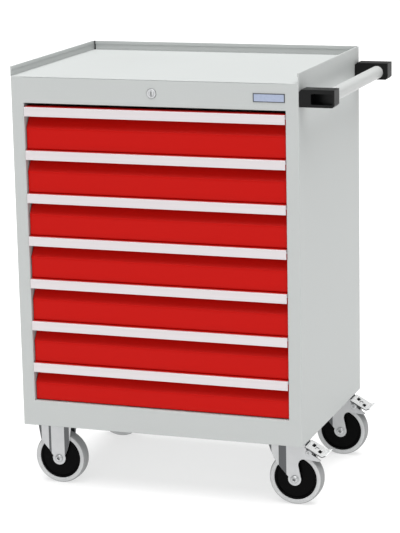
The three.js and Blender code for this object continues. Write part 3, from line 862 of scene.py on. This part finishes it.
def back_panel():
    low, high = span("back_panel")
    y = high.y - HALF
    piece = draw("chest_back", [(low.x, y, low.z), (high.x, y, low.z)])
    bpy.ops.mesh.select_all(action="SELECT")
    pull(0, 0, high.z - low.z)
    for inset, depth in ((60, 0), (5, 1.0)):
        select("FACE", lambda face: near(middle(face).x, 0) and near(middle(face).z, (low.z + high.z) / 2))
        bpy.ops.mesh.inset(thickness=inset, depth=0)
        bpy.ops.transform.translate(value=(0, depth, 0))
    thicken(piece, GAUGE)
    clean(piece)
    left, right, wall, proud = -5.8, 21.8, y - 1.6, 484.2
    path = [(left - 9, wall), (left, wall), (left, proud)]
    path += [(right, proud), (right, wall), (right + 9, wall)]
    loops = []
    for height in GUIDE_LOOPS:
        z = low.z + height
        loop = sweep("loop", 2, (z, z + 20), path, bend=0.8)
        thicken(loop, 1.2)
        loops.append(loop)
    merge(piece, *loops)
    soften(piece, 0.25)
    return piece


finish(back_panel(), "grey_paint", "cabinet", "back_panel")

# %% [markdown]
# ## Drawer fronts
# The front sheet stands upright below and leans back above, which leaves room for fingers behind
# the grip. Its top is folded forward over the grip's web, and the lower part is turned back at
# both ends. The top front and the lowest are modelled, and the others are copies of the top one.

# %% Drawer fronts
PITCH_Z = span("drawer_1_front")[0].z - span("drawer_2_front")[0].z
DRAWERS = range(1, 8)


def drawer_front(number):
    low, high = span(f"drawer_{number}_front")
    grip_low, grip_high = span(f"drawer_{number}_grip")
    face, recess = low.y + HALF, high.y - HALF
    knee = high.z - 53
    fold = grip_high.z + 0.1 + HALF
    foot = low.z + HALF
    path = [
        (low.y + 15, foot),
        (face, foot),
        (face, knee),
        (recess, knee + 27),
        (recess, fold),
        (grip_low.y + 5, fold),
    ]
    end = high.x - HALF
    piece = sweep("front", 0, (-end, end), path, bend=None)
    select("EDGE", lambda edge: runs(edge, 2) and near(middle(edge).y, face) and middle(edge).z < knee)
    pull(0, 13, 0)
    round_folds(0, 2.2)
    round_folds(2, 1.5, 3)
    thicken(piece, GAUGE)
    clean(piece)
    soften(piece, 0.3)
    return piece


# %% [markdown]
# ## Grips
# The grip is a drawn section two millimetres thick: a face strip, a web back to the front sheet
# and a flange against it. The face has a shallow panel between two beads, made by an inset whose
# middle is pushed in a little.

# %% Grips
def grip(number):
    low, high = span(f"drawer_{number}_grip")
    wall = 2
    face, top, back = low.y + wall / 2, high.z - wall / 2, high.y - wall / 2
    path = [(face, low.z), (face, top), (back, top), (back, high.z - 13)]
    piece = sweep("grip", 0, (low.x, high.x), path, bend=1.0)
    thicken(piece, wall)
    clean(piece)
    edit(piece)
    select("FACE", lambda face_: face_.normal.y < -0.99 and near(middle(face_).y, low.y))
    bpy.ops.mesh.inset(thickness=2.4, depth=0)
    bpy.ops.mesh.inset(thickness=0.6, depth=0)
    bpy.ops.transform.translate(value=(0, 0.5, 0))
    soften(piece, 0.3)
    return piece


# %% [markdown]
# ## Drawer boxes
# A box is one sheet: a floor with a pressed field and four walls whose tops are hemmed inwards.
# Each side carries a channel shaped rail. The walls are pulled up from the floor's edges, and the
# hem is an extrusion scaled towards the middle.

# %% Drawer boxes
RAIL_REACH = 18
RAIL_HEIGHT = 37
RAIL_HALF_HEIGHT = 6.5


def drawer_box(number):
    low, high = span(f"drawer_{number}_box")
    half = high.x - RAIL_REACH - HALF
    front, rear = low.y + HALF, high.y - HALF
    floor, top = low.z + HALF, high.z - HALF
    piece = draw("box", [(-half, front, floor), (half, front, floor)])
    bpy.ops.mesh.select_all(action="SELECT")
    pull(0, rear - front, 0)
    select("FACE", lambda face: True)
    bpy.ops.mesh.inset(thickness=34, depth=0)
    bpy.ops.mesh.inset(thickness=5, depth=0)
    bpy.ops.transform.translate(value=(0, 0, 1.5))
    select("EDGE", lambda edge: len(edge.link_faces) == 1)
    pull(0, 0, top - floor)
    centre = (0, (front + rear) / 2, top)
    inward = GAUGE + HEM_GAP
    pull(0, 0, 0)
    bpy.ops.transform.resize(
        value=(1 - inward / half, 1 - 2 * inward / (rear - front), 1),
        center_override=centre,
    )
    pull(0, 0, -7)
    for axis in (0, 1):
        round_folds(axis, 0.7, 3, lambda edge: near(middle(edge).z, top))
        round_folds(axis, 1.8, 3, lambda edge: near(middle(edge).z, floor, 0.3))
    round_folds(2, 1.2, 3)
    thicken(piece, GAUGE)
    clean(piece)
    rail_z = low.z + RAIL_HEIGHT
    reach = high.x - HALF
    rails = []
    for side in (-1, 1):
        root, tip = side * (half + 1), side * reach
        below, above = rail_z - RAIL_HALF_HEIGHT, rail_z + RAIL_HALF_HEIGHT
        path = [(root, below), (tip, below), (tip, above), (root, above)]
        rail = sweep("rail", 1, (front + 1, rear - 6), path, bend=1.4)
        thicken(rail, GAUGE)
        clean(rail)
        rails.append(rail)
    merge(piece, *rails)
    soften(piece, 0.25)
    return piece


# %% All seven drawers
def add_drawers():
    box, upper, strip = drawer_box(1), drawer_front(1), grip(1)
    lowest = drawer_front(7)
    for number in DRAWERS:
        body = f"drawer_{number}"
        shift = (0, 0, (1 - number) * PITCH_Z)
        last = number == DRAWERS[-1]
        name = f"drawer_front_{number}"
        front = copy(lowest, name) if last else copy(upper, name, shift)
        finish(front, "red_paint", body, f"{body}_front")
        finish(copy(strip, f"drawer_grip_{number}", shift), "aluminium", body, f"{body}_grip")
        finish(copy(box, f"drawer_tray_{number}", shift), "galvanised", body, f"{body}_box")
    for pattern in (box, upper, strip, lowest):
        bpy.data.objects.remove(pattern)


add_drawers()

# %% [markdown]
# ## Lock
# The lock is a plated barrel with a stepped bezel, and a plug that turns in it. Both are turned
# about the same axis, and the key slot is cut into the plug.

# %% Lock
KEY_HALF_WIDTH = 1.7


def lock():
    low, high = span("lock_housing")
    centre = Vector(((low.x + high.x) / 2, 0, (low.z + high.z) / 2))
    plug_low, plug_high = span("lock_plug")
    centre.z = (plug_low.z + plug_high.z) / 2
    face = low.y
    face_foot = face + 0.8
    bore = 6.2
    housing = turn(
        "lock_barrel",
        [
            (bore, high.y), (bore, face + 0.9), (bore + 0.9, face + 0.2), (8.6, face),
            (9.6, face + 0.1), (10.6, face + 0.7), (11.2, face + 1.4), (11.4, face + 2.1),
            (8.7, face + 2.1), (8.7, high.y), (bore, high.y),
        ],
        centre,
    )
    nut = [(9, 1.8), (13.2, 1.8), (13.8, 2.4), (13.8, 6), (13.2, 6.5), (9, 6.5), (9, 1.8)]
    merge(housing, turn("nut", nut, centre, steps=6))
    # the bezel's sides take painted shade, a dark ring round the lock's face
    mark_painted_shade(housing, lambda face: face.center.y > face_foot and abs(face.normal.y) < 0.8)
    finish(housing, "chrome", "cabinet", "lock_housing")
    tip, end = plug_low.y, plug_high.y
    profile = [(0, tip + 0.3), (4.4, tip), (5.3, tip + 0.2), (6, tip + 1), (6, end), (0, end)]
    plug = turn("lock_cylinder_plug", profile, centre)
    key = Vector((KEY_HALF_WIDTH, 0, 4.2))
    cut(plug, solid_box("key", centre - key - Vector((0, 4, 0)), centre + key + Vector((0, 8, 0))))
    soften(plug, 0.15)
    # the key slot's walls take painted shade, so the slot reads dark
    mark_painted_shade(
        plug,
        lambda face: abs(face.center.x - centre.x) < KEY_HALF_WIDTH + 0.1 and face.center.y > tip + 0.4,
    )
    finish(plug, "chrome", "lock_cylinder", "lock_plug")


lock()

# %% [markdown]
# ## Nameplate
# A thin pressed plate with a raised frame. The front face is inset, and the field is pushed in.

# %% Nameplate
def nameplate():
    low, high = span("nameplate")
    piece = solid_box("maker_plate", low, high)
    soften(piece, 0.4, 3)
    edit(piece)
    select("FACE", lambda face: face.normal.y < -0.99 and face.calc_area() > 100)
    bpy.ops.mesh.inset(thickness=1.4, depth=0)
    bpy.ops.mesh.inset(thickness=0.4, depth=0)
    bpy.ops.transform.translate(value=(0, 0.4, 0))
    finish(piece, "label", "cabinet", "nameplate")


nameplate()

# %% [markdown]
# ## Handle
# Two moulded brackets hold a tube. A bracket starts as a block with two corners cut off. Its outer
# face gets a pocket, whose cell is found by cutting the face along four lines, and the floor of the
# pocket slopes from deep beside the foot to shallow at the tip. The tube is a turned ring.

# %% Handle brackets and tube
POCKET_LEFT = 367


def bracket():
    low, high = span("handle_bracket_front")
    tube_low, tube_high = span("handle_tube")
    axis = Vector(((tube_low.x + tube_high.x) / 2, 0, (tube_low.z + tube_high.z) / 2))
    piece = solid_box("handle_end", low, high)
    edit(piece)
    corners = [
        ((low.x, 0, high.z - 5), (-5, 0, 8)),
        ((high.x, 0, low.z + 5), (5, 0, -9)),
    ]
    for point, away in corners:
        bpy.ops.mesh.select_all(action="SELECT")
        bpy.ops.mesh.bisect(plane_co=point, plane_no=away, use_fill=True, clear_outer=True)
    left, right = POCKET_LEFT, high.x - 4
    foot, head = low.z + 6, high.z - 9
    for point, away in (
        ((left, 0, 0), (1, 0, 0)),
        ((right, 0, 0), (1, 0, 0)),
        ((0, 0, foot), (0, 0, 1)),
        ((0, 0, head), (0, 0, 1)),
    ):
        select("FACE", lambda face: face.normal.y < -0.99)
        bpy.ops.mesh.bisect(plane_co=point, plane_no=away)

    def over_pocket(item, margin=0):
        place = middle(item)
        return left - margin < place.x < right + margin and foot - margin < place.z < head + margin

    select("FACE", lambda face: face.normal.y < -0.99 and over_pocket(face))
    pull(0, 5, 0)
    select("VERT", lambda vertex: near(vertex.co.x, left) and near(vertex.co.y, low.y + 5))
    bpy.ops.transform.translate(value=(0, 20, 0))
    select(
        "EDGE",
        lambda edge: runs(edge, 1) and low.y < middle(edge).y < low.y + 13 and over_pocket(edge, 1),
    )
    bpy.ops.mesh.bevel(offset=3.5, segments=4, affect="EDGES")
    choose(piece)
    soften(piece, 1.0, 3, 25)
    inner = high.y
    ring = [(15.2, -0.5), (17.2, -0.5), (17.2, 1.2), (16.6, 1.8), (15.2, 1.8), (15.2, -0.5)]
    collar = turn("collar", [(radius, inner + rise) for radius, rise in ring], axis)
    socket = [(0, inner - 10), (15.3, inner - 10), (15.3, inner + 1), (0, inner + 1)]
    cut(piece, turn("socket", socket, axis))
    merge(piece, collar)
    return piece


def handle():
    front = bracket()
    front.name = "handle_end_front"
    rear = copy(front, "handle_end_rear", (0, DEPTH, 0), mirror=(0, 1, 0))
    finish(front, "black_plastic", "cabinet", "handle_bracket_front")
    finish(rear, "black_plastic", "cabinet", "handle_bracket_rear")
    low, high = span("handle_tube")
    radius = (high.x - low.x) / 2
    centre = ((low.x + high.x) / 2, 0, (low.z + high.z) / 2)
    bore = radius - 2
    profile = [(bore, low.y), (radius - 0.6, low.y), (radius, low.y + 0.6)]
    profile += [(radius, high.y - 0.6), (radius - 0.6, high.y), (bore, high.y), (bore, low.y)]
    tube = turn("handle_bar", profile, centre, steps=56)
    finish(tube, "tube_paint", "cabinet", "handle_tube")


handle()

# %% [markdown]
# ## Wheels
# A wheel is turned three times: a rubber tyre with rounded shoulders, a nylon centre with a raised
# ring beside the tyre, and the axle with its washer and nut. They are modelled round the axle at
# the bench's origin and copied to the four corners.

# %% Wheels
def wheel_centre(corner):
    low, high = span(f"{corner}_tyre")
    return (low + high) / 2


AXLE_SEAT = span("front_left_axle")[1].y - wheel_centre("front_left").y - 8
CORNERS = ("front_left", "rear_left", "front_right", "rear_right")


def both_sides(profile):
    """A profile from its +y half, mirrored and closed."""
    return [*profile, *[(radius, -place) for radius, place in reversed(profile)], profile[0]]


def tyre():
    radius = span("front_left_tyre")[1].z / 2
    side = [(50.5, 13.5), (50.5, 14.6), (51.6, 15.4), (54.5, 15.9), (57.4, 16.0), (59.6, 15.2)]
    side += [(61.2, 13.4), (62.0, 10.8), (62.3, 7.0), (62.3, 0.7), (radius, 0.3)]
    piece = turn("tyre", both_sides(side), steps=72)
    # the tread faces are marked for the tyre's painted shade
    mark_painted_shade(piece, lambda face: math.hypot(face.center.x, face.center.z) > 60)
    return piece


def hub():
    side = [(6.3, 19.0), (12.8, 19.0), (14.4, 18.2), (15.4, 17.0), (16.4, 13.6), (18.0, 12.2)]
    side += [(21.0, 11.6), (42.6, 11.2), (44.0, 11.5), (45.0, 13.0), (46.0, 14.2), (47.2, 14.5)]
    side += [(49.0, 14.4), (50.0, 13.8), (50.2, 13.0)]
    return turn("hub", both_sides(side), steps=72)


def axle():
    """A button headed bolt with a deep socket, and a nut on its washer."""
    seat = AXLE_SEAT
    head = [(0, -9), (3.4, -9), (3.4, 4.4), (4, 5), (5, 5)]
    head += [(6.9, 4.2), (8.5, 2.7), (9.4, 1), (9.4, 0.2), (6, 0.2)]
    shank = [(6, seat + 8), (5.2, seat + 8.6), (0, seat + 8.6)]
    bolt = turn("axle", [(radius, -seat - rise) for radius, rise in head] + shank, steps=32)
    ring = [(6.1, 0), (11.6, 0), (12, 0.3), (12, 0.9), (11.6, 1.2), (6.1, 1.2), (6.1, 0)]
    merge(bolt, turn("washer", [(radius, seat + rise) for radius, rise in ring], steps=32))
    nut = [(6.1, 1.3), (9.6, 1.3), (10.8, 2.1), (10.8, 5.6), (9.6, 6.4), (6.1, 6.4), (6.1, 1.3)]
    merge(bolt, turn("nut", [(radius, seat + rise) for radius, rise in nut], steps=6))
    # the bolt's socket takes painted shade, so it reads as a dark hole
    mark_painted_shade(bolt, lambda face: face.center.y < 0 and math.hypot(face.center.x, face.center.z) < 3.5)
    return bolt


def add_wheels():
    parts = {"tyre": (tyre(), "grey_rubber"), "hub": (hub(), "black_nylon"), "axle": (axle(), "zinc")}
    for corner in CORNERS:
        for part, (pattern, slot) in parts.items():
            piece = copy(pattern, f"{corner}_wheel_{part}", wheel_centre(corner))
            body = frame["nodes"][f"{corner}_{part}"]["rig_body"]
            finish(piece, slot, body, f"{corner}_{part}")
    for pattern, _ in parts.values():
        bpy.data.objects.remove(pattern)


add_wheels()

# %% [markdown]
# ## Forks
# A fork is pressed from one sheet. Its legs fold down from the web on top, and carry a proud
# middle panel with the wings set back beside it. So half a web and one leg are swept along x with
# a rounded bend, cut along the fold lines, and the wings are moved back. The whole sheet is then
# mirrored, thickened and trimmed with the outline of the blank.

# %% Fork sheet
STEEL = 2.4
LEG = AXLE_SEAT - 0.3
WING_STEP = 3.2


def arc(radius, start, end, steps=12):
    """Points on a circle about the axle, from one angle to another in degrees."""
    angles = [math.radians(start + (end - start) * step / steps) for step in range(steps + 1)]
    return [(radius * math.cos(angle), radius * math.sin(angle)) for angle in angles]


def prism(name, outline, ends, axis=1):
    """A flat outline, closed and filled, pulled along an axis into a solid."""
    start, end = ends
    piece = draw(name, [laid(axis, start, pair) for pair in [*outline, outline[0]]])
    bpy.ops.mesh.select_all(action="SELECT")
    bpy.ops.mesh.remove_doubles(threshold=0.002)
    bpy.ops.mesh.edge_face_add()
    pull(*laid(axis, end - start, (0, 0)))
    clean(piece)
    return piece


def is_slope(face):
    """True on the sloping bands between a fork's middle panel and its wings."""
    return 0.12 < abs(face.normal.x) < 0.85 and abs(face.normal.z) < 0.1 and face.area > 20


def pressed_fork(name, outline, steps, web):
    """A fork from its outline in x and z. Each step sets the sheet beyond it back, over a slope."""
    reach = [min(x for x, _ in outline) - 1, max(x for x, _ in outline) + 1]
    y = STEEL / 2 - LEG
    piece = sweep(name, 0, reach, [(0, web), (y, web), (y, -16)], bend=None)
    round_folds(0, 4, 5)
    folds = [place for foot, crest, _ in steps for place in (foot, crest)]
    for fold in folds:
        bpy.ops.mesh.select_all(action="SELECT")
        bpy.ops.mesh.bisect(plane_co=(fold, 0, 0), plane_no=(1, 0, 0))
    for foot, crest, depth in steps:
        side = math.copysign(1, foot - crest)
        select("VERT", lambda vertex: (vertex.co.x - foot) * side > -0.01 and vertex.co.y < -1)
        bpy.ops.transform.translate(value=(0, depth, 0))
    select("EDGE", lambda edge: is_fold(edge) and any(near(middle(edge).x, fold) for fold in folds))
    bpy.ops.mesh.bevel(offset=1.5, segments=3, affect="EDGES")
    modify(piece, "MIRROR", use_axis=(False, True, False), use_clip=True, merge_threshold=0.01)
    clean(piece)
    modify(piece, "SOLIDIFY", thickness=STEEL, offset=0)
    clean(piece)
    blank = prism("blank", outline, (-LEG - 1, LEG + 1))
    modify(piece, "BOOLEAN", operation="INTERSECT", solver="EXACT", object=blank)
    bpy.data.objects.remove(blank)
    clean(piece)
    soften(piece, 0.3)
    # the sloping bands between panel and wings take painted shade, a dark tone the lamps do not give
    mark_painted_shade(piece, is_slope)
    return piece


# %% Caster plates
def caster_plate(name):
    """A plate with four bolts, as seen from its wheel's centre."""
    low, high = span("front_right_plate")
    centre = wheel_centre("front_right")
    low, high = low - centre, high - centre
    low.z = high.z - 2.5
    piece = solid_box(name, low, high)
    edit(piece)
    select("EDGE", lambda edge: runs(edge, 2))
    bpy.ops.mesh.bevel(offset=8, segments=5, affect="EDGES")
    choose(piece)
    middle_x = (low.x + high.x) / 2
    profile = [(0, -5.4), (5.2, -5.4), (6.4, -4.6), (6.4, -1.2), (9, -1.2), (9, 0), (0, 0)]
    for x in (middle_x - 40, middle_x + 40):
        for y in (-30, 30):
            merge(piece, turn("bolt", profile, (x, y, low.z), (0, 0, 1), steps=6))
    soften(piece, 0.3)
    return piece


def swivel_head():
    """The plate of a swivel caster with its ball race and king pin."""
    piece = caster_plate("swivel_head")
    low, high = span("front_right_plate")
    centre = wheel_centre("front_right")
    low, high = low - centre, high - centre
    axis = ((low.x + high.x) / 2, 0, 0)
    top = high.z - 2.5
    race = [(0, 0), (36.5, 0), (36.5, -1.6), (34.5, -3.2), (34, -4.4), (30, -4.4), (0, -4.4), (0, 0)]
    race = turn("race", [(radius, top + rise) for radius, rise in race], axis, (0, 0, 1))
    pin = [(0, top - 4), (6, top - 4), (6, low.z + 3.4), (10, low.z + 3.2)]
    pin += [(10, low.z + 1.2), (8, low.z), (0, low.z)]
    pin = turn("pin", pin, axis, (0, 0, 1), steps=24)
    return merge(piece, race, pin)


# %% Both forks
def fixed_fork():
    low, high = span("front_left_fork")
    centre = wheel_centre("front_left")
    top = high.z - centre.z
    outline = [(-56, top - 1), (-46, 43), (-41, 36), *arc(16, 158, 385)]
    outline += [(20.5, 20), (26.5, 44), (33, top - 1)]
    steps = [(-25, -19, WING_STEP), (25, 15, WING_STEP), (-53, -44, 2)]
    piece = pressed_fork("fixed_fork", outline, steps, top - 4.2)
    plate = caster_plate("fixed_plate")
    plate_low, plate_high = span("front_right_plate")
    swivel = wheel_centre("front_right")
    plate.data.transform(Matrix.Translation((swivel.x - (plate_low.x + plate_high.x) / 2, 0, 0)))
    return merge(piece, plate)


def swivel_fork():
    low, high = span("front_right_fork")
    centre = wheel_centre("front_right")
    top = high.z - centre.z
    web = top - 5.4
    outline = [(-68, top), (-66, web), (-50, 46), (-41, 32), *arc(15.4, 160, 366)]
    outline += [(8.6, 33), (9.4, 39), (12.4, 44.6), (17.5, 48.2), (24, 49.2), (54, 46.4), (60, 46.6)]
    outline += [(62.4, 48), (61, 50.4), (30, 68), (24, web), (24, top)]
    steps = [(-38, -19, WING_STEP), (-66, -55, 2)]
    piece = pressed_fork("swivel_fork", outline, steps, web)
    middle_x = (span("front_right_plate")[0].x + span("front_right_plate")[1].x) / 2 - centre.x
    crown = [(7, web), (36, web), (36, top - 1.2), (34.5, top), (7, top), (7, web)]
    crown = turn("crown", crown, (middle_x, 0, 0), (0, 0, 1))
    head = [(0, -1.2), (2.6, -1.2), (2.6, 2.2), (4.4, 2.4), (6.6, 1.7), (7.6, 0.4), (7.6, 0), (4, 0)]
    front = [(radius, -LEG - rise) for radius, rise in head]
    rear = [(radius, LEG + rise) for radius, rise in reversed(head)]
    pin = turn("brake_pin", front + rear, (34, 0, 65), steps=24)
    return merge(piece, crown, pin)


# %% [markdown]
# ## Brake pedals
# The pedal is a bright plate that slopes down from its pin to a turned-up lip. Slots across the
# slope give grip, and a black pad behind them is painted shade, the dark seen through them. Two
# ears hang on the pin, and a shoe under the plate presses on the tyre.

# %% Brake pedal
TREAD_TOP = Vector((39.5, 0, 73.6))
TREAD_SLOPE = Vector((30.8, 0, -17.7)).normalized()
TREAD_LEAN = math.atan2(-TREAD_SLOPE.z, TREAD_SLOPE.x)
TREAD_FRAME = Matrix.Translation(TREAD_TOP) @ Matrix.Rotation(TREAD_LEAN, 4, "Y")


def slot_shade_pad():
    """A black pad under the tread, seen through its slots: painted shade."""
    shade_pad = solid_box("shade_pad", (-5, -18.4, -4.6), (26, 18.4, -1.5))
    shade_pad.data.transform(TREAD_FRAME)
    soften(shade_pad, 0.4)
    return shade_pad


def brake_pedal():
    low, high = span("front_right_brake_pedal")
    centre = wheel_centre("front_right")
    low, high = low - centre, high - centre
    half = high.y
    path = [(high.x - 1.2, 62.4), (65.4, 58.7), (34.6, 76.4), (26.4, 79.6)]
    tread = sweep("pedal", 1, (-half, half), path, bend=2.2)
    thicken(tread, 2.3)
    clean(tread)
    for along, across in ((-1, 7), (9, 0), (19, -6)):
        slot = solid_box("slot", (along - 3.8, across - 9, -5), (along + 3.8, across + 9, 5))
        slot.data.transform(TREAD_FRAME)
        cut(tread, slot)
    ear = [(34 + x, 65 + z) for x, z in arc(7, 180, 360)] + [(41, 71), (27, 78)]
    for side in (-1, 1):
        merge(tread, prism("ear", ear, (side * 16.6, side * 18.9)))
    merge(tread, prism("shoe", [(44, 70), (52, 65.4), (45.3, 44.9), (41.7, 48.4)], (-12, 12)))
    soften(tread, 0.3)
    # the pedal's ears, sides and undersides take painted shade, a dark outline under the bright tread
    mark_painted_shade(tread, lambda face: abs(face.normal.y) > 0.9 or face.normal.z < -0.3)
    return tread


# %% Every caster's pieces
def add_casters():
    pattern = {"fixed": fixed_fork(), "swivel": swivel_fork(), "head": swivel_head()}
    pattern |= {"pedal": brake_pedal(), "shade_pad": slot_shade_pad()}
    for row in ("front", "rear"):
        left, right = f"{row}_left", f"{row}_right"
        fixed = copy(pattern["fixed"], f"{left}_caster_fork", wheel_centre(left))
        finish(fixed, "zinc", "cabinet", f"{left}_fork")
        fork = copy(pattern["swivel"], f"{right}_caster_fork", wheel_centre(right))
        finish(fork, "zinc", f"{right}_caster", f"{right}_fork")
        head = copy(pattern["head"], f"{right}_caster_head", wheel_centre(right))
        finish(head, "zinc", "cabinet", f"{right}_plate")
        pedal = copy(pattern["pedal"], f"{right}_caster_pedal", wheel_centre(right))
        finish(pedal, "bright_zinc", f"{right}_brake", f"{right}_brake_pedal")
        # the pad is painted shade seen through the pedal's slots
        shade_pad = copy(pattern["shade_pad"], f"{right}_caster_shade_pad", wheel_centre(right))
        finish(shade_pad, "black_nylon", f"{right}_brake")
    for piece in pattern.values():
        bpy.data.objects.remove(piece)


add_casters()

# %% [markdown]
# ## What stays from the CAD
# The floor pan, the runner racks and the lock's rod, bar and hanger are right as they are: flat
# sheet and plain bars, deep inside. They keep their meshes and get their finishes.

# %% Finishes on the CAD nodes
def dress_cad_nodes():
    for name, node in frame["nodes"].items():
        if node.hide_render:
            continue
        if name.startswith("runner"):
            slot = "galvanised"
        elif name.startswith("lock"):
            slot = "zinc"
        else:
            slot = "grey_paint"
        node.data.materials.clear()
        node.data.materials.append(FINISHES[slot])
        print("kept", name, slot)


dress_cad_nodes()
